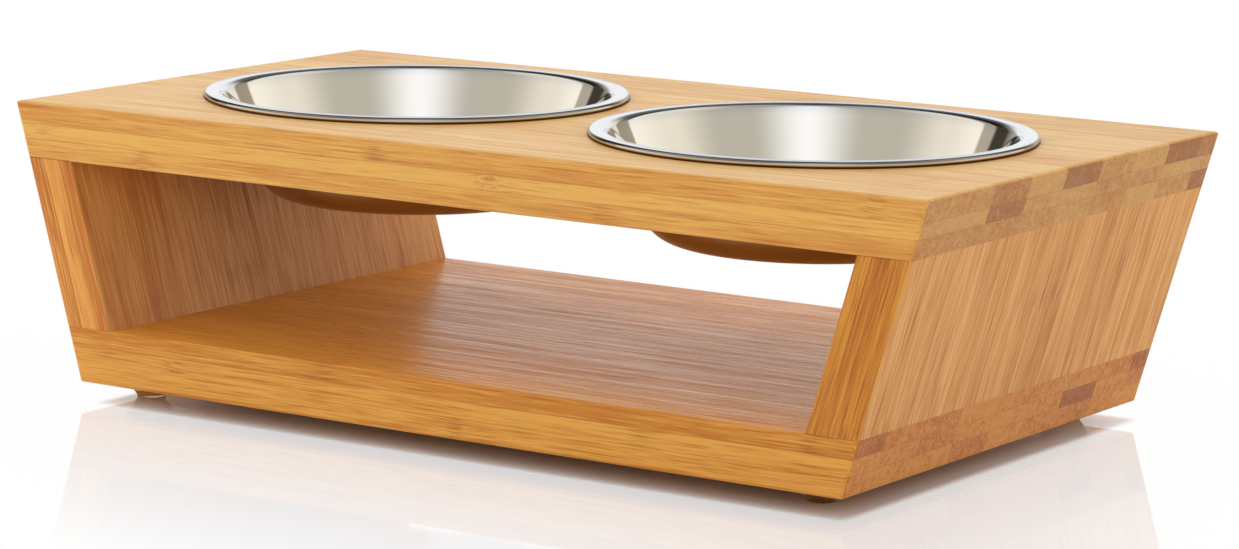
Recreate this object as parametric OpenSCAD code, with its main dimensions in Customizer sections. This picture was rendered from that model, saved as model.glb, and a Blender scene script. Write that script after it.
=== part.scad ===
// Elevated feeder for a dog: two steel bowls hang in a bamboo deck over an open storage bay.
// Millimetres. X runs along the length, Y from front to back, Z up from the floor.
// The deck is sized around the bowls: rims, the wood between them and the margins round them.

/* [Bowls] */
// Diameter over the rolled rim of a bowl
rim_d = 159.6; // [150:0.2:166]
// Width of the rim, from its outer edge to the lip of the bowl
rim_w = 6.6; // [5.6:0.1:9]
// Depth of a bowl below the deck that it hangs in
bowl_depth = 37.8; // [30:0.1:44]
// Slope of the bowl's wall, in degrees from upright
wall_draft = 23.7; // [10:0.1:30]
// Outer radius of the bend between wall and bottom
heel_r = 14.8; // [8:0.1:18]
// Outer radius of the bend where the wall turns out into the rim
lip_r = 3; // [1.2:0.1:3.4]
// Outer diameter of the bead that is rolled at the edge of the rim
bead_d = 2.3; // [2:0.1:4]
// Thickness of the steel sheet
sheet_t = 0.7; // [0.5:0.05:0.9]

/* [Deck layout] */
// Wood between the two rims
between_rims = 15; // [10:0.2:40]
// Wood between a rim and the end of the deck
end_margin = 27.9; // [24:0.1:60]
// Wood between a rim and the front or rear edge of the deck
front_margin = 24.7; // [12:0.1:50]
// Gap all round between a bowl's wall and its cut-out, at the deck's upper face
cutout_gap = 1.8; // [1:0.1:2.4]
// Bevel on the upper and lower edge of a cut-out
cutout_bevel = 0.8; // [0.4:0.1:1.2]

/* [Stand] */
// Height of the wooden stand, without its feet
stand_height = 102.6; // [92:0.2:200]
// Thickness of the top board
top_t = 20.6; // [16:0.1:24]
// Thickness of the base board
base_t = 20.6; // [16:0.1:24]
// Thickness of the side panels
side_t = 19.6; // [16:0.1:24]
// How far the side panels lean outwards, in degrees from upright
side_lean = 16.6; // [8:0.1:18]
// Radius on the outer edges of the stand
ease_r = 1.5; // [0.8:0.1:3]
// Radius on the front and rear edges that face the storage bay or meet at a joint
arris_r = 0.5; // [0.3:0.1:1]

/* [Dowels] */
// Diameter of a dowel
dowel_d = 6; // [5:0.5:7]
// Length of a dowel
dowel_l = 28; // [20:1:28]
// Bevel on the ends of a dowel
dowel_bevel = 0.8; // [0.4:0.1:1.2]
// Dowels across each joint
dowel_count = 3; // [2:1:5]
// From the front or rear edge to the nearest dowel
dowel_inset = 26; // [16:1:36]
// Glue gap round a dowel
dowel_gap = 0.1; // [0.05:0.05:0.2]
// Room above a dowel, at the end of its upper hole
dowel_room = 1.5; // [1:0.5:2]

/* [Feet] */
// Diameter of a foot where it is stuck to the base
foot_top_d = 19; // [14:0.5:24]
// Diameter of a foot over its lower edge
foot_low_d = 10.6; // [8:0.2:13]
// Height of a foot
foot_h = 5.9; // [4:0.1:10]
// Radius on the lower edge of a foot
foot_edge_r = 0.8; // [0.4:0.1:1.4]
// From the end of the base to the middle of a foot
foot_end_inset = 18.6; // [15:0.1:40]
// From the front or rear edge of the base to the middle of a foot
foot_front_inset = 18.7; // [14:0.1:40]

/* [Hidden] */

LEFT = -1;
RIGHT = 1;
FRONT = -1;
REAR = 1;

// Colours
bamboo = [0.80, 0.56, 0.30];
bamboo_shade = [0.72, 0.47, 0.24];
dowel_wood = [0.86, 0.70, 0.48];
steel = [0.78, 0.78, 0.77];
clear_rubber = [0.80, 0.82, 0.82];

// Facets on round solids, and steps along the bends of a section
round_fn = 96;
bend_steps = 8;
bead_steps = 18;
// How far cutters run past what they cut
past = 5;
// How far the bead is pressed flat where it rests on the deck
bead_flat = 0.05;

// Levels of the stand
base_z = foot_h;
shelf_z = base_z + base_t;
deck_z = base_z + stand_height;
ceiling_z = deck_z - top_t;

// Plan of the deck, and where the bowls hang in it
rim_r = rim_d / 2;
bowl_x = rim_r + between_rims / 2;
half_length = bowl_x + rim_r + end_margin;
half_depth = rim_r + front_margin;

// The ends lean in towards the floor: half the stand's length at a height z
lean_slope = tan(side_lean);
side_run = side_t / cos(side_lean);
function half_length_at(z) = half_length - (deck_z - z) * lean_slope;

// Bends of the bowl's sheet, seen in section beside its axis, with the deck at z = 0
half_t = sheet_t / 2;
bead_r = bead_d / 2;
bead_mid_r = bead_r - half_t;
lip_mid_r = lip_r - half_t;
heel_mid_r = heel_r - half_t;
bead_centre = [rim_r - bead_r, bead_r - bead_flat];
lip_centre = [rim_r - rim_w + lip_r * cos(45), bead_centre.y + bead_mid_r - lip_mid_r];
wall_top = lip_centre + lip_mid_r * [-cos(wall_draft), sin(wall_draft)];
heel_centre_z = -bowl_depth + heel_r;
wall_foot_z = heel_centre_z - heel_mid_r * sin(wall_draft);
wall_foot_x = wall_top.x - (wall_top.y - wall_foot_z) * tan(wall_draft);
heel_centre = [wall_foot_x - heel_mid_r * cos(wall_draft), heel_centre_z];
wall_at_deck = wall_top.x - wall_top.y * tan(wall_draft) + half_t / cos(wall_draft);
cutout_r = wall_at_deck + cutout_gap;

// Half of a dowel stands in each of the two pieces that it joins
dowel_r = dowel_d / 2;
dowel_in = dowel_l / 2;

// Points along an arc from angle a to angle b
function arc(centre, r, a, b, steps) = [
    for (i = [0 : steps])
        let (turn = a + (b - a) * i / steps)
        centre + r * [cos(turn), sin(turn)]
];

function reversed(points) = [for (i = [len(points) - 1 : -1 : 0]) points[i]];

// One face of the bowl's sheet, at a distance from its middle: bottom, heel, wall, lip, rim and bead
function sheet_face(offset) = concat(
    [[0, -bowl_depth + half_t + offset]],
    arc(heel_centre, heel_mid_r - offset, -90, -wall_draft, bend_steps),
    arc(lip_centre, lip_mid_r + offset, 180 - wall_draft, 90, bend_steps),
    arc(bead_centre, bead_mid_r + offset, 90, -180, bead_steps)
);

// The section of the bowl, with its bead flat where it meets the deck
function bowl_section() = [
    for (p = concat(sheet_face(half_t), reversed(sheet_face(-half_t))))
        p.x > lip_centre.x ? [p.x, max(p.y, 0)] : p
];

// What rounding takes off a corner: its point is at the origin and the wood lies along +X
module corner_waste(corner_angle, r) {
    half = corner_angle / 2;
    centre = [r / sin(half), 0];
    touch = r / tan(half) * [cos(half), sin(half)];
    out = past * [-sin(half), cos(half)];
    difference() {
        polygon([centre, touch + out, [-past, 0], [touch.x + out.x, -touch.y - out.y]]);
        translate(centre) circle(r = r, $fn = round_fn);
    }
}

// The stand from the front, narrow below, with its four corners eased
module stand_outline() {
    low = half_length_at(base_z);
    difference() {
        polygon([[-low, base_z], [low, base_z], [half_length, deck_z], [-half_length, deck_z]]);
        for (side = [LEFT, RIGHT]) {
            translate([side * half_length, deck_z])
                rotate(90 + side * (90 + (90 - side_lean) / 2))
                corner_waste(90 - side_lean, ease_r);
            translate([side * low, base_z])
                rotate(90 + side * (90 + side_lean) / 2)
                corner_waste(90 + side_lean, ease_r);
        }
    }
}

// A board from its end, between two levels, with its own radius on the lower and upper edges
module board_outline(low_z, high_z, low_r, high_r) {
    difference() {
        translate([-half_depth, low_z]) square([2 * half_depth, high_z - low_z]);
        for (face = [FRONT, REAR]) {
            translate([face * half_depth, high_z]) rotate(90 + face * 135) corner_waste(90, high_r);
            translate([face * half_depth, low_z]) rotate(90 + face * 45) corner_waste(90, low_r);
        }
    }
}

// The waste along a leaning edge that is edge_x from the middle at the level of the base
module leaning_waste(side, face, edge_x, wood_side, r) {
    translate([side * edge_x, face * half_depth, base_z])
        rotate([0, side * side_lean, 0])
        translate([0, 0, -stand_height / 2])
        linear_extrude(2 * stand_height)
        rotate(face * (wood_side == LEFT ? -135 : -45))
        corner_waste(90, r);
}

// A profile that is drawn from the front, run from front to rear
module front_to_rear() {
    translate([0, half_depth + past, 0]) rotate([90, 0, 0])
        linear_extrude(2 * (half_depth + past)) children();
}

// A level board, its ends bevelled in line with the leaning sides
module board(low_z, high_z, low_r, high_r) {
    difference() {
        intersection() {
            front_to_rear() stand_outline();
            translate([-half_length - past, 0, 0]) rotate([90, 0, 90])
                linear_extrude(2 * (half_length + past))
                board_outline(low_z, high_z, low_r, high_r);
        }
        for (side = [LEFT, RIGHT], face = [FRONT, REAR])
            leaning_waste(side, face, half_length_at(base_z), -side, ease_r);
    }
}

// Places for the dowels of one joint. In the top joint they stand in the middle of the panel
// below, and in the base joint midway between the board's end and the panel's inner face.
module at_dowels(side, joint_z) {
    inwards = joint_z == ceiling_z ? dowel_in * lean_slope / 2 : 0;
    dowel_x = half_length_at(joint_z) - side_run / 2 - inwards;
    pitch = 2 * (half_depth - dowel_inset) / (dowel_count - 1);
    for (i = [0 : dowel_count - 1])
        translate([side * dowel_x, -half_depth + dowel_inset + i * pitch, joint_z - dowel_in])
            children();
}

module dowel_holes(side, joint_z) {
    at_dowels(side, joint_z)
        cylinder(h = dowel_l + dowel_room, r = dowel_r + dowel_gap, $fn = round_fn);
}

// What a cut-out takes from the deck, with both its edges bevelled
module cutout_waste(side) {
    edge_r = cutout_r + cutout_bevel;
    translate([side * bowl_x, 0, 0])
        rotate_extrude($fn = round_fn)
        polygon([
            [0, ceiling_z - past], [edge_r, ceiling_z - past],
            [edge_r, ceiling_z], [cutout_r, ceiling_z + cutout_bevel],
            [cutout_r, deck_z - cutout_bevel], [edge_r, deck_z],
            [edge_r, deck_z + past], [0, deck_z + past]
        ]);
}

module top_board() {
    color(bamboo)
    difference() {
        board(ceiling_z, deck_z, arris_r, ease_r);
        for (side = [LEFT, RIGHT]) {
            cutout_waste(side);
            dowel_holes(side, ceiling_z);
        }
    }
}

module base_board() {
    color(bamboo)
    difference() {
        board(base_z, shelf_z, ease_r, arris_r);
        for (side = [LEFT, RIGHT]) dowel_holes(side, shelf_z);
    }
}

module side_panel(side) {
    low = half_length_at(shelf_z);
    high = half_length_at(ceiling_z);
    inner_x = half_length_at(base_z) - side_run;
    color(bamboo_shade)
    difference() {
        translate([0, half_depth, 0]) rotate([90, 0, 0])
            linear_extrude(2 * half_depth)
            polygon([
                [side * (low - side_run), shelf_z], [side * low, shelf_z],
                [side * high, ceiling_z], [side * (high - side_run), ceiling_z]
            ]);
        for (face = [FRONT, REAR]) {
            leaning_waste(side, face, half_length_at(base_z), -side, ease_r);
            leaning_waste(side, face, inner_x, side, arris_r);
        }
        dowel_holes(side, shelf_z);
        dowel_holes(side, ceiling_z);
    }
}

// A pressed bowl: one sheet revolved, its rim rolled into a bead that rests on the deck
module bowl(side) {
    color(steel)
    translate([side * bowl_x, 0, deck_z])
        rotate_extrude($fn = round_fn) polygon(bowl_section());
}

// A clear bumper, wider at the top where it is stuck on
module foot(side, face) {
    foot_x = half_length_at(base_z) - foot_end_inset;
    foot_y = half_depth - foot_front_inset;
    edge_centre = [foot_low_d / 2 - foot_edge_r, foot_edge_r];
    color(clear_rubber)
    translate([side * foot_x, face * foot_y, 0])
        rotate_extrude($fn = round_fn)
        polygon(concat(
            [[0, 0]],
            arc(edge_centre, foot_edge_r, -90, 0, bend_steps),
            [[foot_top_d / 2, foot_h], [0, foot_h]]
        ));
}

// The dowels of one joint, each standing on the bottom of its lower hole
module dowels(side, joint_z) {
    end_r = dowel_r - dowel_bevel;
    color(dowel_wood)
    at_dowels(side, joint_z)
        rotate_extrude($fn = round_fn)
        polygon([
            [0, 0], [end_r, 0], [dowel_r, dowel_bevel],
            [dowel_r, dowel_l - dowel_bevel], [end_r, dowel_l], [0, dowel_l]
        ]);
}

top_board();
base_board();
side_panel(LEFT);  // left_side
side_panel(RIGHT);  // right_side
bowl(LEFT);  // left_bowl
bowl(RIGHT);  // right_bowl
foot(LEFT, FRONT);  // foot_front_left
foot(RIGHT, FRONT);  // foot_front_right
foot(LEFT, REAR);  // foot_rear_left
foot(RIGHT, REAR);  // foot_rear_right
dowels(LEFT, ceiling_z);  // top_left_dowels
dowels(RIGHT, ceiling_z);  // top_right_dowels
dowels(LEFT, shelf_z);  // base_left_dowels
dowels(RIGHT, shelf_z);  // base_right_dowels
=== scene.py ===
# %% [markdown]
# # A raised feeder with two bowls
# A bamboo stand carries two steel bowls over an open storage bay. Its boards come from the
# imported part, which is loaded first and never moved. What is added here is the finish of each
# board, the bowls and the feet as finely curved surfaces, and the small studio around them.

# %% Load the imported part
import math

import bpy
import numpy as np
from mathutils import Matrix, Vector


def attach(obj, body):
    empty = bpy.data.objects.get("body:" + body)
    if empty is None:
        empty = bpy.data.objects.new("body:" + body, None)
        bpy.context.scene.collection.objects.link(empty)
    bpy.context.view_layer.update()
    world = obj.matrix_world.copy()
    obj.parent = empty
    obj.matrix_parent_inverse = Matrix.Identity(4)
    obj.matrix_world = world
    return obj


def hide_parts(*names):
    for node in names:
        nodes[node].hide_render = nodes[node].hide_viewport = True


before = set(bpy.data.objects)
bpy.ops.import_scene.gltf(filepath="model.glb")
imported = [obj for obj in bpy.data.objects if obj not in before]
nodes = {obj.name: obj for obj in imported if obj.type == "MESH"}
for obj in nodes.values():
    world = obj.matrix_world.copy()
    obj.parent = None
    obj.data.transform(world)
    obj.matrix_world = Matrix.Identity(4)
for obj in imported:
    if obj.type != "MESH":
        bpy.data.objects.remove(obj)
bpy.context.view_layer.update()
MM = 0.001

# %% [markdown]
# ## The camera
# The view is a long lens a little above the deck, turned about a third of a right angle to the
# right of the front. A camera looks along its own -Z, so its three axes are built from the
# direction back to it: first the level ones, then both turned by the small roll of the picture.

# %% Camera
view_turn = math.radians(33.95)
view_rise = math.radians(9.724)
view_roll = math.radians(0.717)
view_aim = Vector((6.041, -0.996, 50.4)) * MM
view_distance = 1587.6 * MM
to_camera = Vector((math.sin(view_turn) * math.cos(view_rise),
                    -math.cos(view_turn) * math.cos(view_rise), math.sin(view_rise)))
level_right = (-to_camera).cross(Vector((0, 0, 1))).normalized()
level_up = level_right.cross(-to_camera)
right = math.cos(view_roll) * level_right + math.sin(view_roll) * level_up
up = math.cos(view_roll) * level_up - math.sin(view_roll) * level_right

lens = bpy.data.cameras.new("camera")
lens.lens = 125.92
lens.sensor_width = 36
lens.clip_start = 0.05
lens.clip_end = 60
camera = bpy.data.objects.new("camera", lens)
bpy.context.scene.collection.objects.link(camera)
camera.matrix_world = (Matrix.Translation(view_aim + to_camera * view_distance)
                       @ Matrix((right, up, to_camera)).transposed().to_4x4())
bpy.context.scene.camera = camera
bpy.context.scene.view_settings.view_transform = "Standard"
print("camera at", [round(c, 3) for c in camera.matrix_world.translation])

# %% [markdown]
# ## Helpers for shader nodes
# A material is a tree of nodes. Written out one by one they hide the idea, so five short helpers
# add a node, do a sum, blend two colours, ease a value into another range and make noise.

# %% Node helpers
def add(tree, kind, inputs=None, output=0, **settings):
    """Adds a node with its settings, links or sets its inputs, and returns one output."""
    node = tree.nodes.new(kind)
    for name, value in settings.items():
        setattr(node, name, value)
    for key, value in (inputs or {}).items():
        if isinstance(value, bpy.types.NodeSocket):
            tree.links.new(value, node.inputs[key])
        else:
            node.inputs[key].default_value = value
    row, column = divmod(len(tree.nodes), 8)
    node.location = (220 * column, -260 * row)
    return node.outputs[output]


def calc(tree, operation, *values):
    """One sum: the operation on one, two or three values or sockets."""
    return add(tree, "ShaderNodeMath", dict(enumerate(values)), operation=operation)


def blend(tree, factor, a, b, blend_type="MIX"):
    """Colour a where the factor is 0, turning into colour b where it is 1."""
    return add(tree, "ShaderNodeMix", {0: factor, 6: a, 7: b}, output=2,
               data_type="RGBA", blend_type=blend_type)


def ease(tree, value, low, high, to_low=0.0, to_high=1.0):
    """Eases from to_low at low to to_high at high, flat outside them."""
    return add(tree, "ShaderNodeMapRange", {0: value, 1: low, 2: high, 3: to_low, 4: to_high},
               interpolation_type="SMOOTHSTEP")


def noise(tree, vector, detail, roughness=0.5):
    """Noise of about one unit across, from 0 to 1."""
    return add(tree, "ShaderNodeTexNoise",
               {"Vector": vector, "Scale": 1.0, "Detail": detail, "Roughness": roughness})


def new_group(name, inputs, outputs):
    """Makes a node group and returns its tree, the sockets to read and the sockets to fill."""
    group = bpy.data.node_groups.new(name, "ShaderNodeTree")
    for label, kind, default in inputs:
        socket = group.interface.new_socket(name=label, in_out="INPUT", socket_type=kind)
        socket.default_value = default
    for label, kind in outputs:
        group.interface.new_socket(name=label, in_out="OUTPUT", socket_type=kind)
    entry = group.nodes.new("NodeGroupInput")
    leave = group.nodes.new("NodeGroupOutput")
    leave.location = (2000, 0)
    return group, entry.outputs, leave.inputs


FLOAT = "NodeSocketFloat"
VECTOR = "NodeSocketVector"
COLOUR = "NodeSocketColor"


def new_material(name):
    """An empty material, its tree and the shader that it ends in."""
    material = bpy.data.materials.new(name)
    material.use_nodes = True
    tree = material.node_tree
    tree.nodes.clear()
    shader = tree.nodes.new("ShaderNodeBsdfPrincipled")
    shader.location = (2000, 0)
    end = tree.nodes.new("ShaderNodeOutputMaterial")
    end.location = (2300, 0)
    tree.links.new(shader.outputs[0], end.inputs["Surface"])
    return material, tree, shader

# %% [markdown]
# ## Laminated bamboo
# Each board is three plies of bamboo slats glued side by side, about 25 mm wide. A slat shows
# fine fibres, dark bundles that are lines along the board and dots on its sawn end, and now
# and then the mark of a knuckle of the cane. So the wood is worked out in space, not painted
# on: the group turns a point into three distances, along the grain, across the slats and up
# through the plies. Every pattern is a function of these, so edges and faces agree.

# %% The bamboo group: where a point lies in the board
bamboo, take, give = new_group("laminated bamboo", [
    ("Position", VECTOR, (0, 0, 0)),
    ("Normal", VECTOR, (0, 0, 1)),
    ("Grain", VECTOR, (1, 0, 0)),
    ("Across", VECTOR, (0, 1, 0)),
    ("Through", VECTOR, (0, 0, 1)),
    ("First Face", FLOAT, 0.0),
    ("Thickness", FLOAT, 20.0),
    ("Low Glue Share", FLOAT, 0.35),
    ("High Glue Share", FLOAT, 0.65),
    ("Slat Width", FLOAT, 25.14),
    ("Slat Start", FLOAT, 9.85),
    ("Slat Step", FLOAT, 24.09),
    ("Seed", FLOAT, 0.0),
    ("Knuckle Start", FLOAT, 0.0),
    ("Streak Contrast", FLOAT, 1.0),
    ("Blush", FLOAT, 0.3),
    ("Satin", FLOAT, 0.5),
    ("Pale", COLOUR, (0.70, 0.36, 0.11, 1)),
    ("Deep", COLOUR, (0.50, 0.22, 0.05, 1)),
    ("End Grain", COLOUR, (0.8, 0.8, 0.9, 1)),
    ("Edge Tint", COLOUR, (1, 1, 1, 1)),
], [("Color", COLOUR), ("Roughness", FLOAT), ("Height", FLOAT)])


def m(operation, *values):
    """A sum inside the bamboo group."""
    return calc(bamboo, operation, *values)


def at(x, y, z):
    """A vector inside the bamboo group."""
    return add(bamboo, "ShaderNodeCombineXYZ", {0: x, 1: y, 2: z})


def along_axis(vector, axis):
    """The part of a vector that lies along one of the board's axes."""
    return add(bamboo, "ShaderNodeVectorMath", {0: take[vector], 1: take[axis]}, output=1,
               operation="DOT_PRODUCT")


def centred(value, strength):
    """Moves a noise to swing either side of zero with the given strength."""
    return m("MULTIPLY", m("SUBTRACT", value, 0.5), strength)


along = m("DIVIDE", along_axis("Position", "Grain"), MM)
across = m("DIVIDE", along_axis("Position", "Across"), MM)
height = m("SUBTRACT", m("DIVIDE", along_axis("Position", "Through"), MM), take["First Face"])

low_glue = m("MULTIPLY", take["Thickness"], take["Low Glue Share"])
high_glue = m("MULTIPLY", take["Thickness"], take["High Glue Share"])
over_low = m("GREATER_THAN", height, low_glue)
over_high = m("GREATER_THAN", height, high_glue)
ply = m("ADD", over_low, over_high)
glue_gap = m("MINIMUM", m("ABSOLUTE", m("SUBTRACT", height, low_glue)),
             m("ABSOLUTE", m("SUBTRACT", height, high_glue)))
end_grain = ease(bamboo, m("ABSOLUTE", along_axis("Normal", "Grain")), 0.75, 0.92)
wide_face = ease(bamboo, m("ABSOLUTE", along_axis("Normal", "Through")), 0.55, 0.9)
print("bamboo group:", len(bamboo.nodes), "nodes place a point")

# %% [markdown]
# A slat gets its own shade, knuckles and fibres from one chance number. It is the fraction left
# of a steep sine of the slat's number and its ply's, so it is the same along the whole slat.
# The seed and slat step of each board come from a search for values that put the darker slats
# about where the photograph shows them, so their order is a fit and not a rule of bamboo.

# %% The bamboo group: slats and their chances
slats = m("DIVIDE", m("ADD", across, take["Slat Start"]), take["Slat Width"])
slat = m("FLOOR", slats)
in_slat = m("FRACT", slats)
slat_gap = m("MULTIPLY", m("MINIMUM", in_slat, m("SUBTRACT", 1.0, in_slat)), take["Slat Width"])
ply_step = 78.233
sine_gain = 97.0
longest_shift = 71.0
slat_key = m("ADD", m("MULTIPLY_ADD", slat, take["Slat Step"], take["Seed"]),
             m("MULTIPLY", ply, ply_step))
chance = m("FRACT", m("MULTIPLY", m("SINE", slat_key), sine_gain))
own_start = m("MULTIPLY", chance, longest_shift)

knuckle_spacing = 202.0
knuckle_width = 4.5
knuckle_scatter = 42.51
knuckle_turn = m("FRACT", m("ADD", m("MULTIPLY_ADD", chance, knuckle_scatter, take["Knuckle Start"]),
                            m("DIVIDE", along, knuckle_spacing)))
knuckle_far = m("MULTIPLY", m("SUBTRACT", knuckle_turn, 0.5), knuckle_spacing)


def bell(distance, width):
    """One at no distance, falling to nothing over a few widths."""
    share = m("DIVIDE", distance, width)
    return m("EXPONENT", m("MULTIPLY", m("MULTIPLY", share, share), -1.0))


knuckle = bell(knuckle_far, knuckle_width)

# %% [markdown]
# Fibres run the length of a slat, so their noise is stretched thirty to fifty times along the
# grain. They wander by a millimetre, and at a knuckle they bulge round it.

# %% The bamboo group: fibres and bundles
wander_place = at(m("MULTIPLY", along, 0.012), m("MULTIPLY", across, 0.05), own_start)
wander = m("MULTIPLY", m("SUBTRACT", noise(bamboo, wander_place, 2.0), 0.5),
           m("MULTIPLY_ADD", knuckle, 4.0, 2.5))
bent = m("ADD", across, wander)
lifted = m("ADD", height, m("MULTIPLY", wander, 0.6))


def grained(length, width, detail=2.0, roughness=0.5):
    """Noise with patches of about this length along the grain and width across it."""
    place = at(m("MULTIPLY_ADD", along, 1 / length, own_start), m("DIVIDE", bent, width),
               m("DIVIDE", lifted, width))
    return noise(bamboo, place, detail, roughness)


hairs = grained(17.0, 0.42, 1.0)
fibres = grained(30.0, 0.90, 2.0, 0.6)
streaks = grained(110.0, 2.8, 2.0)
clouds = grained(90.0, 16.0, 1.0)
blush = grained(42.0, 6.0, 2.0, 0.6)

bundle_place = at(m("MULTIPLY_ADD", along, 0.012, own_start), m("DIVIDE", bent, 0.8),
                  m("DIVIDE", lifted, 0.7))
bundle_far = add(bamboo, "ShaderNodeTexVoronoi", {"Vector": bundle_place, "Scale": 1.0})
bundles = ease(bamboo, bundle_far, 0.36, 0.14)

# %% [markdown]
# The colour goes from a pale to a deep tint by slat and by streak. The wide faces are sanded and
# look more even from slat to slat than the edges. Bundles, knuckles and glue lines darken the
# wood, and the sawn end takes more finish, so it is darker and its slats differ more.

# %% The bamboo group: colour
slat_strength = m("MULTIPLY_ADD", wide_face, -0.95, 1.25)
tone = m("MULTIPLY_ADD", m("SUBTRACT", chance, 0.5), slat_strength,
         m("MULTIPLY_ADD", wide_face, -0.08, 0.50))
grain_swing = m("ADD", m("ADD", centred(streaks, 1.0), centred(clouds, 0.7)),
                m("ADD", centred(fibres, 1.4), centred(hairs, 1.3)))
contrast = m("MULTIPLY", take["Streak Contrast"], m("MULTIPLY_ADD", wide_face, -0.30, 1.30))
tone = m("MULTIPLY_ADD", grain_swing, contrast, tone)
colour = blend(bamboo, tone, take["Pale"], take["Deep"])
SHADE = (0.42, 0.28, 0.18, 1)
RED_SHADE = (0.66, 0.42, 0.36, 1)
KNUCKLE_SHADE = (0.62, 0.46, 0.36, 1)
WHITE = (1, 1, 1, 1)


def darken(colour, factor, shade):
    """Multiplies the colour by a shade where the factor is 1."""
    return blend(bamboo, factor, colour, shade, "MULTIPLY")


not_end = m("SUBTRACT", 1.0, end_grain)
narrow_face = m("MULTIPLY", not_end, m("SUBTRACT", 1.0, wide_face))
dashes = ease(bamboo, hairs, 0.46, 0.64)
lines = m("MULTIPLY", ease(bamboo, fibres, 0.58, 0.70), m("MULTIPLY_ADD", narrow_face, 0.20, 0.08))
colour = darken(colour, lines, SHADE)
colour = darken(colour, m("MULTIPLY", bundles, m("MULTIPLY_ADD", end_grain, 0.30, 0.16)), SHADE)
blushed = m("MULTIPLY", ease(bamboo, blush, 0.56, 0.74), m("MULTIPLY_ADD", dashes, 0.6, 0.4))
colour = darken(colour, m("MULTIPLY", blushed, take["Blush"]), RED_SHADE)
marked = m("MULTIPLY", m("MULTIPLY", knuckle, m("MULTIPLY_ADD", dashes, 0.50, 0.10)),
           m("MULTIPLY", not_end, m("MULTIPLY_ADD", wide_face, -0.50, 1.0)))
colour = darken(colour, marked, KNUCKLE_SHADE)
glue = ease(bamboo, glue_gap, 0.28, 0.05)
seam = ease(bamboo, slat_gap, 0.24, 0.05)
colour = darken(colour, m("MULTIPLY", glue, 0.28), SHADE)
colour = darken(colour, m("MULTIPLY", seam, m("MULTIPLY_ADD", wide_face, -0.12, 0.24)), SHADE)
dark_slat = ease(bamboo, chance, 0.60, 0.84)
colour = darken(colour, m("MULTIPLY", dark_slat, m("MULTIPLY", end_grain, 0.40)), SHADE)
edged = blend(bamboo, 1.0, colour, take["Edge Tint"], "MULTIPLY")
colour = blend(bamboo, narrow_face, colour, edged)
ended = blend(bamboo, 1.0, colour, take["End Grain"], "MULTIPLY")
bamboo.links.new(blend(bamboo, end_grain, colour, ended), give["Color"])

# %% [markdown]
# The varnish sinks in along the open fibres, so it is duller there and glossier between them.
# The same fibres stand a few hundredths of a millimetre proud, with a slight step at each seam.

# %% The bamboo group: gloss and height
dull = m("ADD", centred(streaks, 0.5), centred(fibres, 0.35))
satin = m("MAXIMUM", m("ADD", take["Satin"], dull), 0.12)
bamboo.links.new(m("MULTIPLY_ADD", end_grain, 0.10, satin), give["Roughness"])
relief = m("SUBTRACT", m("MULTIPLY_ADD", bundles, -0.25, fibres),
           m("ADD", m("MULTIPLY", glue, 0.4), m("MULTIPLY", seam, 0.5)))
bamboo.links.new(m("ADD", relief, m("MULTIPLY", streaks, 0.8)), give["Height"])
print("bamboo group:", len(bamboo.nodes), "nodes in all")

# %% [markdown]
# ## One finish per board
# The boards share the group and differ in its values. The level boards have their grain along
# the stand. A side panel's grain climbs its slope, so its axes are turned by the lean. The tints
# were matched to the photograph, so they also take up what the lighting gets wrong.

# %% Board materials
side_lean = math.radians(16.6)
lean_sine, lean_cosine = math.sin(side_lean), math.cos(side_lean)


def varnished(name, shine=0.4, **values):
    """A board's material: the bamboo group under a thin satin varnish."""
    material, tree, shader = new_material(name)
    where = tree.nodes.new("ShaderNodeTexCoord")
    wood = tree.nodes.new("ShaderNodeGroup")
    wood.node_tree = bamboo
    tree.links.new(where.outputs["Object"], wood.inputs["Position"])
    tree.links.new(where.outputs["Normal"], wood.inputs["Normal"])
    for label, value in values.items():
        wood.inputs[label.replace("_", " ")].default_value = value
    tree.links.new(wood.outputs["Color"], shader.inputs["Base Color"])
    tree.links.new(wood.outputs["Roughness"], shader.inputs["Roughness"])
    bump = tree.nodes.new("ShaderNodeBump")
    bump.inputs["Strength"].default_value = 0.7
    bump.inputs["Distance"].default_value = 0.05 * MM
    tree.links.new(wood.outputs["Height"], bump.inputs["Height"])
    tree.links.new(bump.outputs[0], shader.inputs["Normal"])
    shader.inputs["IOR"].default_value = 1.45
    shader.inputs["Specular IOR Level"].default_value = shine
    return material


def finish(node_name, material):
    """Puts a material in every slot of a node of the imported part."""
    for slot in nodes[node_name].material_slots:
        slot.material = material
    print(node_name, "is finished in", material.name)


deck = varnished(
    "bamboo deck", 0.6, First_Face=87.9, Thickness=20.6, Low_Glue_Share=0.345, High_Glue_Share=0.615,
    Seed=8.48688, Slat_Step=25.534221, Knuckle_Start=0.008, Satin=0.42,
    Streak_Contrast=0.85, Blush=0.15,
    Pale=(0.82, 0.52, 0.17, 1), Deep=(0.65, 0.30, 0.06, 1), End_Grain=(0.70, 0.57, 0.44, 1),
    Edge_Tint=(0.91, 0.78, 0.47, 1))
finish("top_board", deck)
finish("base_board", varnished(
    "bamboo base", 0.3, First_Face=5.9, Thickness=20.6, Low_Glue_Share=0.375, High_Glue_Share=0.68,
    Seed=200.18014, Slat_Step=28.598411, Knuckle_Start=0.826, Satin=0.32, Streak_Contrast=1.1, Blush=0.3,
    Pale=(0.90, 0.43, 0.07, 1), Deep=(0.66, 0.23, 0.025, 1), End_Grain=(0.68, 0.57, 0.38, 1),
    Edge_Tint=(0.82, 0.84, 0.92, 1)))
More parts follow.
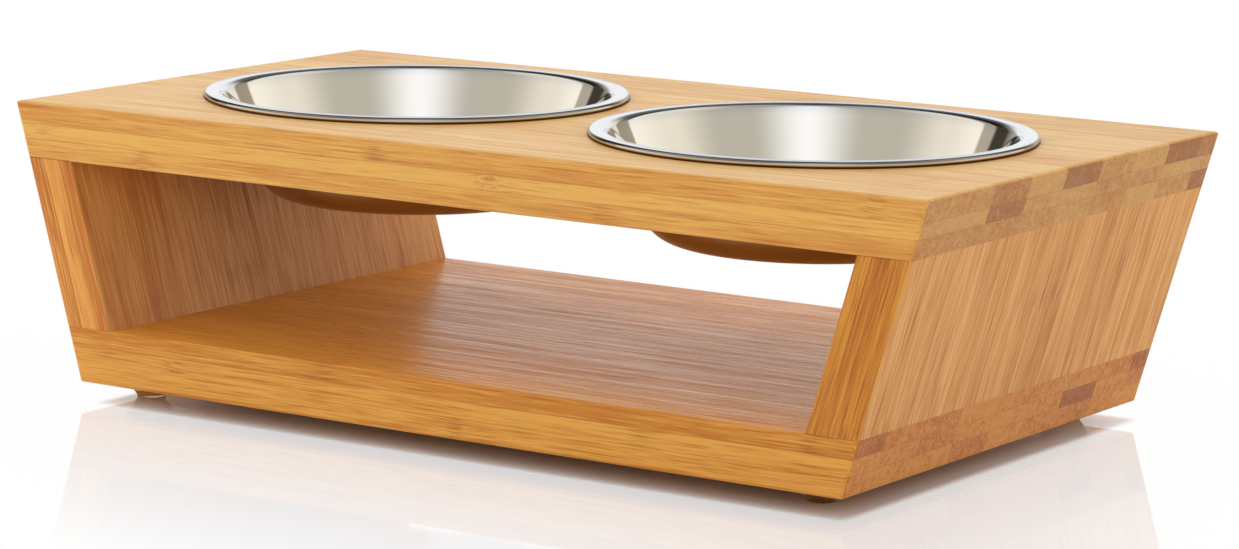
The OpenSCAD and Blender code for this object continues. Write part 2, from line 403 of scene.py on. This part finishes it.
for side_name, side_sign, seed, edge_tint in (("left_side", -1, 59.9, (1.04, 0.93, 0.66, 1)),
                                              ("right_side", 1, 25.34, (0.86, 0.69, 0.27, 1))):
    finish(side_name, varnished(
        "bamboo " + side_name.replace("_", " "),
        Grain=(side_sign * lean_sine, 0, lean_cosine),
        Through=(side_sign * lean_cosine, 0, -lean_sine),
        First_Face=136.28, Thickness=19.6, Low_Glue_Share=0.28, High_Glue_Share=0.63, Seed=seed,
        Satin=0.50, Streak_Contrast=1.15, Blush=0.75,
        Pale=(0.74, 0.38, 0.11, 1), Deep=(0.50, 0.18, 0.032, 1), End_Grain=(0.8, 0.8, 0.9, 1),
        Edge_Tint=edge_tint))

# %% [markdown]
# The photograph shows a fine dark line on the deck round each rim, a contact shadow, and it is
# painted: the deck's colour is darkened everywhere nearer to a bowl's axis than its rim is, so at
# rest only that painted shadow line shows. With a bowl lifted, its seat and the wall of its cut-out
# are dark too, which is a fault of this way.

# %% The painted shadow line round each rim
rim_radius = 79.8
bowl_offset = 87.3
tree = deck.node_tree
where = tree.nodes.new("ShaderNodeTexCoord")
spot = add(tree, "ShaderNodeSeparateXYZ", {0: where.outputs["Object"]})
from_bowl = calc(tree, "SUBTRACT", calc(tree, "ABSOLUTE", spot.node.outputs[0]), bowl_offset * MM)
from_axis = calc(tree, "SQRT", calc(tree, "ADD", calc(tree, "MULTIPLY", from_bowl, from_bowl),
                                    calc(tree, "MULTIPLY", spot.node.outputs[1],
                                         spot.node.outputs[1])))
past_rim = calc(tree, "SUBTRACT", calc(tree, "DIVIDE", from_axis, MM), rim_radius)
shader_input = tree.nodes["Principled BSDF"].inputs["Base Color"]
line_edge, line_full = 0.7, 0.15
# Painted contact shadow: inside the rim the deck's colour is multiplied by a dark brown.
painted_rim_shadow = blend(tree, ease(tree, past_rim, line_edge, line_full), shader_input.links[0].from_socket,
              (0.30, 0.17, 0.08, 1), "MULTIPLY")
tree.links.new(painted_rim_shadow, shader_input)
print("deck darkened to", line_edge, "mm past a rim of", rim_radius, "mm radius")

# %% [markdown]
# The dowels are hidden in the joints and show only if a board is taken away: pale beech with
# short fine flecks along their length.

# %% Dowels
dowel_material, tree, shader = new_material("beech dowel")
where = tree.nodes.new("ShaderNodeTexCoord")
stretch = add(tree, "ShaderNodeMapping", {"Vector": where.outputs["Object"],
                                          "Scale": (1500, 1500, 110)})
flecks = noise(tree, stretch, 2.0)
tree.links.new(blend(tree, flecks, (0.66, 0.44, 0.24, 1), (0.48, 0.28, 0.13, 1)),
               shader.inputs["Base Color"])
tree.links.new(ease(tree, flecks, 0.2, 0.8, 0.45, 0.65), shader.inputs["Roughness"])
for joint in ("top_left", "top_right", "base_left", "base_right"):
    finish(joint + "_dowels", dowel_material)

# %% [markdown]
# ## The bowls
# A bowl is pressed from one steel sheet: a flat bottom, a bend, a straight sloping wall, a lip
# that turns out level and a bead rolled at its edge. In section that is a middle line with a
# constant thickness, so both faces are the same arcs with radii half a sheet more or less.
# The section is turned round the bowl's axis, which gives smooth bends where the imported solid
# has facets.

# %% The section of a bowl
rim_width = 6.6
bowl_depth = 37.8
wall_draft = math.radians(23.7)
heel_radius = 14.8
lip_radius = 3.0
bead_radius = 1.15
bead_flat = 0.05
half_sheet = 0.35
deck_level = 108.5


def arc(centre, radius, start, end, steps):
    """Points on a circle about the centre, evenly turned from the start to the end angle."""
    turn = np.linspace(start, end, steps)
    return np.column_stack([centre[0] + radius * np.cos(turn), centre[1] + radius * np.sin(turn)])


bead_middle = (rim_radius - bead_radius, bead_radius - bead_flat)
lip_middle = (rim_radius - rim_width + lip_radius * math.cos(math.pi / 4),
              bead_middle[1] + bead_radius - lip_radius)
lip_line = lip_radius - half_sheet
wall_head = (lip_middle[0] - lip_line * math.cos(wall_draft),
             lip_middle[1] + lip_line * math.sin(wall_draft))
heel_line = heel_radius - half_sheet
heel_level = heel_radius - bowl_depth
wall_foot = wall_head[1] - (heel_level - heel_line * math.sin(wall_draft))
heel_middle = (wall_head[0] - wall_foot * math.tan(wall_draft) - heel_line * math.cos(wall_draft),
               heel_level)


def straight(start, end, steps):
    """Points between two ends, the ends left out."""
    part = np.linspace(0, 1, steps + 2)[1:-1, None]
    return np.asarray(start) * (1 - part) + np.asarray(end) * part


def sheet_face(offset):
    """One face of the sheet, an offset from its middle line: bottom, heel, wall, lip and bead."""
    heel = arc(heel_middle, heel_line - offset, -math.pi / 2, -wall_draft, 28)
    lip = arc(lip_middle, lip_line + offset, math.pi - wall_draft, math.pi / 2, 22)
    bead = arc(bead_middle, bead_radius - half_sheet + offset, math.pi / 2, -math.pi, 54)
    centre = np.array([[0.0, heel[0, 1]]])
    return np.vstack([centre, straight(centre[0], heel[0], 20), heel,
                      straight(heel[-1], lip[0], 18), lip, straight(lip[-1], bead[0], 4), bead])


upper_face, lower_face = sheet_face(half_sheet), sheet_face(-half_sheet)
section = np.vstack([lower_face, upper_face[::-1]])
on_rim = section[:, 0] > lip_middle[0]
section[on_rim, 1] = np.maximum(section[on_rim, 1], 0)
face_run = np.cumsum(np.hypot(*np.diff(upper_face, axis=0).T))
lip_run = float(face_run[np.argmax(upper_face[1:, 0] > wall_head[0] - half_sheet)])
flange_start = float(face_run[np.argmax(upper_face[1:, 0] > lip_middle[0] - 0.01)])
flange_end = float(face_run[np.argmax(upper_face[1:, 0] > bead_middle[0] - 0.01)])
print("bowl section:", len(section), "points, rim", round(2 * section[:, 0].max(), 1), "mm across")

# %% [markdown]
# To turn a section, every point is multiplied by the cosine and sine of every angle at once.
# The two ends lie on the axis, so each becomes a single point with a fan of triangles, and the
# surface is closed. A profile that starts low and ends high gives normals that point outward.
# The distance run along the sheet from its centre is kept as an attribute for its polish.

# %% Turning a section round an axis
def turned(name, profile, axis_x, axis_y, base_level, turns):
    """Radius times cosine and sine of the angle, for every profile point and every angle."""
    angle = np.linspace(0, 2 * np.pi, turns, endpoint=False)
    ring = profile[1:-1]
    x = axis_x + ring[:, :1] * np.cos(angle)
    y = axis_y + ring[:, :1] * np.sin(angle)
    z = base_level + np.repeat(ring[:, 1:], turns, axis=1)
    poles = [[axis_x, axis_y, base_level + profile[0, 1]],
             [axis_x, axis_y, base_level + profile[-1, 1]]]
    points = np.vstack([np.stack([x, y, z], axis=-1).reshape(-1, 3), poles]) * MM
    rows = len(ring)
    here = np.arange(turns)
    after = (here + 1) % turns
    row = np.arange(rows - 1)[:, None] * turns
    quads = np.stack([row + here, row + after, row + turns + after, row + turns + here], axis=-1)
    first, last = rows * turns, rows * turns + 1
    low_fan = np.column_stack([np.full(turns, first), after, here])
    high = (rows - 1) * turns
    high_fan = np.column_stack([np.full(turns, last), high + here, high + after])
    faces = [*quads.reshape(-1, 4).tolist(), *low_fan.tolist(), *high_fan.tolist()]
    mesh = bpy.data.meshes.new(name)
    mesh.from_pydata(points.tolist(), [], faces)
    run = np.concatenate([[0], np.cumsum(np.hypot(*np.diff(profile, axis=0).T))]) * MM
    run = np.minimum(run, run[-1] - run)
    values = np.concatenate([np.repeat(run[1:-1], turns), [run[0], run[-1]]]).astype(np.float32)
    mesh.attributes.new("profile_run", "FLOAT", "POINT").data.foreach_set("value", values)
    mesh.shade_smooth()
    piece = bpy.data.objects.new(name, mesh)
    bpy.context.scene.collection.objects.link(piece)
    return piece


def volume(piece):
    """Sum of the signed tetrahedra from the origin to each triangle, positive if outward."""
    mesh = piece.data
    mesh.calc_loop_triangles()
    corners = np.empty(len(mesh.loop_triangles) * 3, dtype=np.int32)
    mesh.loop_triangles.foreach_get("vertices", corners)
    places = np.empty(len(mesh.vertices) * 3)
    mesh.vertices.foreach_get("co", places)
    a, b, c = places.reshape(-1, 3)[corners.reshape(-1, 3)].transpose(1, 0, 2)
    return float(np.einsum("ij,ij->i", a, np.cross(b, c)).sum() / 6)


bowls = {}
for side_name, side_sign in (("left", -1), ("right", 1)):
    bowl = turned(side_name + "_pressed_bowl", section, side_sign * bowl_offset, 0, deck_level, 256)
    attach(bowl, side_name + "_bowl")
    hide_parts(side_name + "_bowl")
    bowls[side_name] = bowl
    print(bowl.name, round(volume(bowl) / MM ** 3), "mm3 of steel")

# %% [markdown]
# ## Polished and satin steel
# The rim is bright, the inside has a fine satin from spinning, in rings round the axis, with a
# few faint scratches from use. Rings are noise of the distance run along the sheet alone, so
# they follow the bends. Metal has hardly any colour of its own: its look is what it mirrors.
# The underside, which points down, is set duller and browner, to match how it looks in the bay:
# its brown is painted shade and a painted reflection of the wood.

# %% Steel
steel_group, take, give = new_group("spun steel", [
    ("Position", VECTOR, (0, 0, 0)),
    ("Normal", VECTOR, (0, 0, 1)),
    ("Axis", VECTOR, (0, 0, 0)),
    ("Run", FLOAT, 0.0),
], [("Color", COLOUR), ("Roughness", FLOAT), ("Height", FLOAT)])
run_mm = calc(steel_group, "DIVIDE", take["Run"], MM)
from_axis = add(steel_group, "ShaderNodeVectorMath", {0: take["Position"], 1: take["Axis"]},
                operation="SUBTRACT")
apart = add(steel_group, "ShaderNodeSeparateXYZ", {0: from_axis})
turn = calc(steel_group, "ARCTAN2", apart.node.outputs[1], apart.node.outputs[0])
around = add(steel_group, "ShaderNodeCombineXYZ",
             {0: calc(steel_group, "COSINE", turn), 1: calc(steel_group, "SINE", turn),
              2: calc(steel_group, "MULTIPLY", run_mm, 4.0)})
rings = noise(steel_group, around, 4.0, 0.65)
marks_place = add(steel_group, "ShaderNodeVectorMath", {0: from_axis, "Scale": 60.0},
                  operation="SCALE")
marks = noise(steel_group, marks_place, 3.0)
on_rim = ease(steel_group, run_mm, lip_run - 3.0, lip_run + 1.0)
satin = calc(steel_group, "MULTIPLY_ADD", rings, 0.035, 0.02)
satin = calc(steel_group, "MULTIPLY_ADD", marks, 0.02, satin)
bright = calc(steel_group, "MULTIPLY_ADD", marks, 0.04, 0.03)
polish = add(steel_group, "ShaderNodeMix", {0: on_rim, 2: satin, 3: bright}, data_type="FLOAT")
down = add(steel_group, "ShaderNodeSeparateXYZ", {0: take["Normal"]}).node.outputs[2]
under = ease(steel_group, down, -0.05, -0.30)
steel_group.links.new(add(steel_group, "ShaderNodeMix", {0: under, 2: polish, 3: 0.26},
                          data_type="FLOAT"), give["Roughness"])
metal_colour = blend(steel_group, rings, (0.88, 0.87, 0.85, 1), (0.84, 0.83, 0.81, 1))
# Painted reflection: a dark band round the rolled bead, 0.4 to 1.6 mm past the flat of the rim.
bead_run = calc(steel_group, "SUBTRACT", run_mm, flange_end)
rolled = calc(steel_group, "MULTIPLY", ease(steel_group, bead_run, 0.4, 0.8),
              ease(steel_group, bead_run, 1.6, 1.3))
# Painted reflection: the rim's steel is tinted blue-grey for the cool surroundings it mirrors.
metal_colour = blend(steel_group, on_rim, metal_colour, (0.72, 0.745, 0.775, 1))
metal_colour = blend(steel_group, rolled, metal_colour, (0.28, 0.26, 0.25, 1))
# Painted shade and reflection: faces that point down take a dull brown in place of the steel.
steel_group.links.new(blend(steel_group, under, metal_colour, (0.42, 0.33, 0.30, 1)),
                      give["Color"])

# %% [markdown]
# The flat of the rim is crowned by a tenth of a millimetre, which spreads its highlight as in the
# photograph. Its height is a bump, the square of one less the square of the way across it.

# %% Steel: relief
flange_half = (flange_end - flange_start) / 2
across_flange = calc(steel_group, "DIVIDE",
                     calc(steel_group, "SUBTRACT", run_mm, flange_start + flange_half), flange_half)
inside_flange = calc(steel_group, "MAXIMUM", 0.0, calc(
    steel_group, "SUBTRACT", 1.0, calc(steel_group, "MULTIPLY", across_flange, across_flange)))
crown = calc(steel_group, "MULTIPLY", calc(steel_group, "MULTIPLY", inside_flange, inside_flange),
             0.12)
steel_group.links.new(calc(steel_group, "MULTIPLY_ADD", rings, 0.0012, crown), give["Height"])
print("rim flat from", round(flange_start, 1), "to", round(flange_end, 1), "mm along the sheet")

for side_name, side_sign in (("left", -1), ("right", 1)):
    material, tree, shader = new_material("spun steel " + side_name)
    where = tree.nodes.new("ShaderNodeTexCoord")
    run = tree.nodes.new("ShaderNodeAttribute")
    run.attribute_name = "profile_run"
    metal = tree.nodes.new("ShaderNodeGroup")
    metal.node_tree = steel_group
    metal.inputs["Axis"].default_value = (side_sign * bowl_offset * MM, 0, deck_level * MM)
    tree.links.new(where.outputs["Object"], metal.inputs["Position"])
    tree.links.new(where.outputs["Normal"], metal.inputs["Normal"])
    tree.links.new(run.outputs["Fac"], metal.inputs["Run"])
    tree.links.new(metal.outputs["Color"], shader.inputs["Base Color"])
    tree.links.new(metal.outputs["Roughness"], shader.inputs["Roughness"])
    bump = tree.nodes.new("ShaderNodeBump")
    bump.inputs["Strength"].default_value = 1.0
    bump.inputs["Distance"].default_value = MM
    tree.links.new(metal.outputs["Height"], bump.inputs["Height"])
    tree.links.new(bump.outputs[0], shader.inputs["Normal"])
    shader.inputs["Metallic"].default_value = 1.0
    bowls[side_name].data.materials.append(material)

# %% [markdown]
# ## The feet
# Four clear bumpers are stuck under the base. They are wide where they stick and narrow to a
# soft rounded edge on the floor, with a straight sloping flank between. The section is turned as
# the bowls' was.

# %% Feet
foot_low_radius = 5.3
foot_top_radius = 9.5
foot_height = 5.9
foot_edge = 0.8
foot_x, foot_y = 145.814, 85.8


def foot_section():
    """Flat bottom, rounded lower edge, sloping flank and flat top."""
    edge_middle = (foot_low_radius - foot_edge, foot_edge)
    edge = arc(edge_middle, foot_edge, -math.pi / 2, 0, 12)
    flank = straight(edge[-1], (foot_top_radius, foot_height), 10)
    top = np.array([[foot_top_radius, foot_height], [0.0, foot_height]])
    return np.vstack([[[0.0, 0.0]], edge, flank, top])


clear, tree, shader = new_material("clear bumper")
where = tree.nodes.new("ShaderNodeTexCoord")
haze_place = add(tree, "ShaderNodeMapping", {"Vector": where.outputs["Object"],
                                             "Scale": (400, 400, 400)})
haze = noise(tree, haze_place, 3.0)
tree.links.new(ease(tree, haze, 0.3, 0.7, 0.02, 0.08), shader.inputs["Roughness"])
tree.links.new(blend(tree, haze, (0.96, 0.96, 0.95, 1), (0.90, 0.91, 0.90, 1)),
               shader.inputs["Base Color"])
shader.inputs["Transmission Weight"].default_value = 1.0
shader.inputs["IOR"].default_value = 1.45

for side_name, side_sign in (("left", -1), ("right", 1)):
    for face_name, face_sign in (("front", -1), ("rear", 1)):
        foot = turned(f"bumper_{face_name}_{side_name}", foot_section(), side_sign * foot_x,
                      face_sign * foot_y, 0, 96)
        foot.data.materials.append(clear)
        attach(foot, "stand")
        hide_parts(f"foot_{face_name}_{side_name}")
        print(foot.name, round(volume(foot) / MM ** 3), "mm3")

# %% [markdown]
# ## Floor
# The stand is on a glossy white table that runs out into a white backdrop. Under the stand and
# at its edge the table is a real surface that takes shade. Further out, what the camera and
# mirrors see of it turns into plain white, so no edge or horizon shows. Over both lies a clear
# gloss that mirrors the stand, strong at its foot and fading out with the distance from it.

# %% Floor
floor_half = 8.0
floor_mesh = bpy.data.meshes.new("floor")
floor_mesh.from_pydata([(-floor_half, -floor_half, 0), (floor_half, -floor_half, 0),
                        (floor_half, floor_half, 0), (-floor_half, floor_half, 0)],
                       [], [(0, 1, 2, 3)])
floor = bpy.data.objects.new("floor", floor_mesh)
bpy.context.scene.collection.objects.link(floor)

floor_material, tree, shader = new_material("white table")
where = tree.nodes.new("ShaderNodeTexCoord")
place = add(tree, "ShaderNodeSeparateXYZ", {0: where.outputs["Object"]})


def past_side(output, middle, half_size):
    """How far a point lies beyond one pair of sides of the base, in metres, or nothing."""
    off_middle = calc(tree, "ABSOLUTE", calc(tree, "SUBTRACT", place.node.outputs[output], middle))
    return calc(tree, "MAXIMUM", calc(tree, "SUBTRACT", off_middle, half_size), 0.0)


past_end, past_front = past_side(0, 0.007, 0.157), past_side(1, -0.004, 0.1005)
away = calc(tree, "SQRT", calc(tree, "ADD", calc(tree, "MULTIPLY", past_end, past_end),
                               calc(tree, "MULTIPLY", past_front, past_front)))
mottle = noise(tree, add(tree, "ShaderNodeMapping", {"Vector": where.outputs["Object"],
                                                     "Scale": (9, 9, 9)}), 2.0)
tree.links.new(blend(tree, mottle, (0.85, 0.83, 0.81, 1), (0.81, 0.79, 0.77, 1)),
               shader.inputs["Base Color"])
shader.inputs["Roughness"].default_value = 0.6
shader.inputs["Specular IOR Level"].default_value = 0.0
path = tree.nodes.new("ShaderNodeLightPath")
seen = calc(tree, "MAXIMUM", path.outputs["Is Camera Ray"],
            calc(tree, "MAXIMUM", path.outputs["Is Glossy Ray"],
                 path.outputs["Is Transmission Ray"]))
far = ease(tree, away, 0.0, 0.006)
white = add(tree, "ShaderNodeEmission", {"Color": WHITE, "Strength": 1.0})
table = add(tree, "ShaderNodeMixShader", {0: calc(tree, "MULTIPLY", far, seen),
                                          1: shader.outputs[0], 2: white})
gloss_share = add(tree, "ShaderNodeMapRange", {0: away, 1: 0.0, 2: 0.19, 3: 0.36, 4: 0.0})
mirror = add(tree, "ShaderNodeBsdfGlossy", {"Color": (0.97, 0.96, 0.95, 1), "Roughness": 0.035})
mirror_share = calc(tree, "MULTIPLY", gloss_share, path.outputs["Is Camera Ray"])
mixed = add(tree, "ShaderNodeMixShader", {0: mirror_share, 1: table, 2: mirror})
tree.links.new(mixed, tree.nodes["Material Output"].inputs["Surface"])
floor_mesh.materials.append(floor_material)

# %% [markdown]
# ## The studio
# White surroundings light the stand softly from all round, most from low down, so that the
# storage bay is lit through its open sides. Steel shows what stands in a studio, so what glossy
# rays meet is drawn round the horizon by its bearing from the camera: a tall lamp over the
# camera, grey walls, bright screens at the sides, cards and a black flag beside the backdrop,
# and the backdrop itself, blue-grey at the table, white over it and dim above. Their places and
# colours were worked back from what the bowls mirror in the photograph, so they are a fit to it.
# The white light on the wood is its own, and is stronger from the side of the backdrop.

# %% World
world = bpy.data.worlds.new("studio")
bpy.context.scene.world = world
world.use_nodes = True
tree = world.node_tree
tree.nodes.clear()
where = tree.nodes.new("ShaderNodeTexCoord")


def toward(direction):
    """How far the ray's direction points towards the given one: 1 straight at it."""
    return add(tree, "ShaderNodeVectorMath", {0: where.outputs["Generated"], 1: direction},
               output=1, operation="DOT_PRODUCT")


def ramp(position, stops):
    """Blends smoothly through colours at positions from 0 to 1."""
    socket = add(tree, "ShaderNodeValToRGB", {0: position})
    points = socket.node.color_ramp
    points.interpolation = "EASE"
    for index, (spot, colour) in enumerate(stops):
        point = points.elements[index] if index < 2 else points.elements.new(spot)
        point.position = spot
        point.color = (*colour, 1)
    return socket


def bearing(degrees):
    """Where a bearing lies on the ramp: 0.5 towards the camera, more to its right."""
    return 0.5 + degrees / 360


front = Vector((math.sin(view_turn), -math.cos(view_turn), 0))
beside = Vector((math.cos(view_turn), math.sin(view_turn), 0))
azimuth = calc(tree, "ARCTAN2", toward(beside), toward(front))
rise = calc(tree, "MULTIPLY", calc(tree, "ARCSINE", toward((0, 0, 1))), 180 / math.pi)
SNOW = (0.87, 0.87, 0.87)
SCREEN = (0.93, 0.88, 0.77)
CARD = (0.42, 0.37, 0.29)
BLACK = (0.045, 0.04, 0.03)
GREY = (0.49, 0.455, 0.38)
CREAM = (0.83, 0.74, 0.61)
walls = ramp(calc(tree, "MULTIPLY_ADD", azimuth, 0.5 / math.pi, 0.5), [
    (0.0, SNOW), (1.0, SNOW), (bearing(-168), SNOW), (bearing(-158), (0.36, 0.35, 0.30)),
    (bearing(-152), (0.22, 0.20, 0.16)), (bearing(-147), BLACK), (bearing(-134), BLACK),
    (bearing(-133), CARD), (bearing(-122.5), CARD), (bearing(-120.5), SCREEN),
    (bearing(-95), (0.80, 0.73, 0.62)), (bearing(-60), GREY), (bearing(60), GREY),
    (bearing(95), (0.80, 0.74, 0.62)), (bearing(130.5), SCREEN), (bearing(132.5), (0.35, 0.30, 0.22)),
    (bearing(147), (0.33, 0.28, 0.20)), (bearing(149), CREAM), (bearing(168), SNOW)])
walls = blend(tree, ease(tree, rise, 50, 68), walls, (0.42, 0.39, 0.34, 1))
behind = ease(tree, calc(tree, "ABSOLUTE", azimuth), math.radians(125), math.radians(140))
walls = blend(tree, calc(tree, "MULTIPLY", behind, ease(tree, rise, 13, 28)), walls,
              (0.15, 0.15, 0.165, 1), "MULTIPLY")
walls = blend(tree, calc(tree, "MULTIPLY", behind, ease(tree, rise, 5.5, 1.5)), walls,
              (0.62, 0.69, 0.76, 1), "MULTIPLY")
off_lamp = calc(tree, "ABSOLUTE", calc(tree, "SUBTRACT", azimuth, math.radians(1)))
lamp_glow = calc(tree, "MULTIPLY", ease(tree, off_lamp, math.radians(40), 0.0),
                 calc(tree, "MULTIPLY", ease(tree, rise, 12, 26), ease(tree, rise, 78, 66)))
mirrored = blend(tree, lamp_glow, walls, (0.97, 0.96, 0.95, 1))
backdrop_glow = calc(tree, "MULTIPLY", ease(tree, toward(-front), 0.35, 0.85), 1.9)
ambient_strength = calc(tree, "MULTIPLY", ease(tree, rise, 3, 58, 1.42, 0.50),
                        calc(tree, "ADD", backdrop_glow, 1.0))
ambient = add(tree, "ShaderNodeBackground", {"Color": (1.0, 0.985, 0.96, 1),
                                             "Strength": ambient_strength})
path = tree.nodes.new("ShaderNodeLightPath")
mirror_light = add(tree, "ShaderNodeBackground", {"Color": mirrored, "Strength": 1.16})
plain_white = add(tree, "ShaderNodeBackground", {"Color": WHITE, "Strength": 1.0})
lit = add(tree, "ShaderNodeMixShader", {0: path.outputs["Is Glossy Ray"], 1: ambient,
                                        2: mirror_light})
seen = calc(tree, "MAXIMUM", path.outputs["Is Camera Ray"], path.outputs["Is Transmission Ray"])
lit = add(tree, "ShaderNodeMixShader", {0: seen, 1: lit, 2: plain_white})
tree.links.new(lit, tree.nodes.new("ShaderNodeOutputWorld").inputs["Surface"])

# %% [markdown]
# Two soft lamps give the light a direction: a broad one overhead and a weaker one on the left of
# the camera. Each is aimed by turning its own -Z to the stand.

# %% Lamps
def softbox(name, place, size, power):
    """A square lamp at a place in metres, facing the middle of the stand."""
    light = bpy.data.lights.new(name, "AREA")
    light.size = size
    light.energy = power
    lamp = bpy.data.objects.new(name, light)
    bpy.context.scene.collection.objects.link(lamp)
    way = Vector(place) - view_aim
    lamp.matrix_world = Matrix.Translation(place) @ way.to_track_quat("Z", "Y").to_matrix().to_4x4()
    lamp.visible_glossy = False


softbox("overhead", (-0.35, -0.3, 1.1), 0.9, 2.4)
softbox("camera_left", (-0.7, -1.7, 1.2), 0.9, 2.0)
